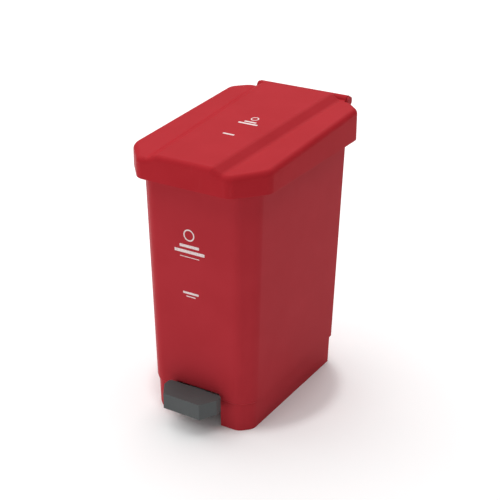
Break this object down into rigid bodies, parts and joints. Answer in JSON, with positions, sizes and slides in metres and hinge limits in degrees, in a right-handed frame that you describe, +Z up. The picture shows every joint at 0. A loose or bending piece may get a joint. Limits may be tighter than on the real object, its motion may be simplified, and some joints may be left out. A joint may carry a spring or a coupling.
{
  "type": "pedal bin",
  "caption": "Tall narrow red plastic pedal bin for laboratory waste, with a hinged skirted lid, a grey foot pedal linked by a push rod, and a lift-out inner bucket.",
  "frame": {"origin": "on the floor, in the middle of the bin's outline seen from above (pedal tip to hinge barrel, side to side)", "axes": "+Z up; -Y towards the pedal, +Y towards the lid hinge; +X to the right seen from the pedal side"},
  "size_m": [0.2288, 0.3632, 0.445],
  "materials": {
    "red_plastic": "satin moulded polypropylene",
    "grey_plastic": "matt moulded polypropylene",
    "black_plastic": "satin moulded polypropylene",
    "zinc_plated_steel": "bright zinc plate"
  },
  "bodies": {
    "casing": {"axle_block_left": "black_plastic", "axle_block_right": "black_plastic", "axle_clip_left": "zinc_plated_steel", "axle_clip_right": "zinc_plated_steel", "block_screw_1": "zinc_plated_steel", "block_screw_2": "zinc_plated_steel", "block_screw_3": "zinc_plated_steel", "block_screw_4": "zinc_plated_steel", "bracket_screw_1": "zinc_plated_steel", "bracket_screw_2": "zinc_plated_steel", "bracket_screw_3": "zinc_plated_steel", "bracket_screw_4": "zinc_plated_steel", "casing": "red_plastic", "cover_screw_1": "zinc_plated_steel", "cover_screw_2": "zinc_plated_steel", "cover_screw_3": "zinc_plated_steel", "cover_screw_4": "zinc_plated_steel", "hinge_bracket_left": "red_plastic", "hinge_bracket_right": "red_plastic", "hinge_cap_left": "red_plastic", "hinge_cap_right": "red_plastic", "hinge_pin": "zinc_plated_steel", "pedal_axle": "zinc_plated_steel", "rod_cover": "red_plastic", "rod_guide_lower": "black_plastic", "rod_guide_upper": "black_plastic"},
    "lid": {"lid": "red_plastic"},
    "push_rod": {"push_rod": "zinc_plated_steel", "rod_clip_upper": "zinc_plated_steel", "rod_clip_lower": "zinc_plated_steel"},
    "pedal": {"pedal_pad": "grey_plastic", "pedal_arm": "grey_plastic", "pad_screw_1": "zinc_plated_steel", "pad_screw_2": "zinc_plated_steel"},
    "inner_bucket": {"inner_bucket": "black_plastic"},
    "bail": {"bucket_bail": "zinc_plated_steel", "bail_grip": "black_plastic"}
  },
  "joints": [
    {"name": "lid_hinge", "type": "hinge", "parent": "casing", "child": "lid", "pos_m": [0, 0.17307, 0.43], "axis": [-1, 0, 0], "range_deg": [0, 68]},
    {"name": "pedal_pivot", "type": "hinge", "parent": "casing", "child": "pedal", "pos_m": [0, -0.03543, 0.03687], "axis": [1, 0, 0], "range_deg": [0, 11.8]},
    {"name": "push_rod_slide", "type": "slide", "parent": "casing", "child": "push_rod", "axis": [0, 0, 1], "range_m": [0, 0.0373]},
    {"name": "bucket_lift", "type": "slide", "parent": "casing", "child": "inner_bucket", "axis": [0, 0, 1], "range_m": [0, 0.008]},
    {"name": "bail_pivot", "type": "hinge", "parent": "inner_bucket", "child": "bail", "pos_m": [0, -0.00393, 0.401], "axis": [1, 0, 0], "range_deg": [0, 8]}
  ],
  "couplings": [
    {"joint": "pedal_pivot", "follows": "lid_hinge", "ratio": 0.17337},
    {"joint": "push_rod_slide", "follows": "lid_hinge", "m_per_rad": 0.031359}
  ]
}
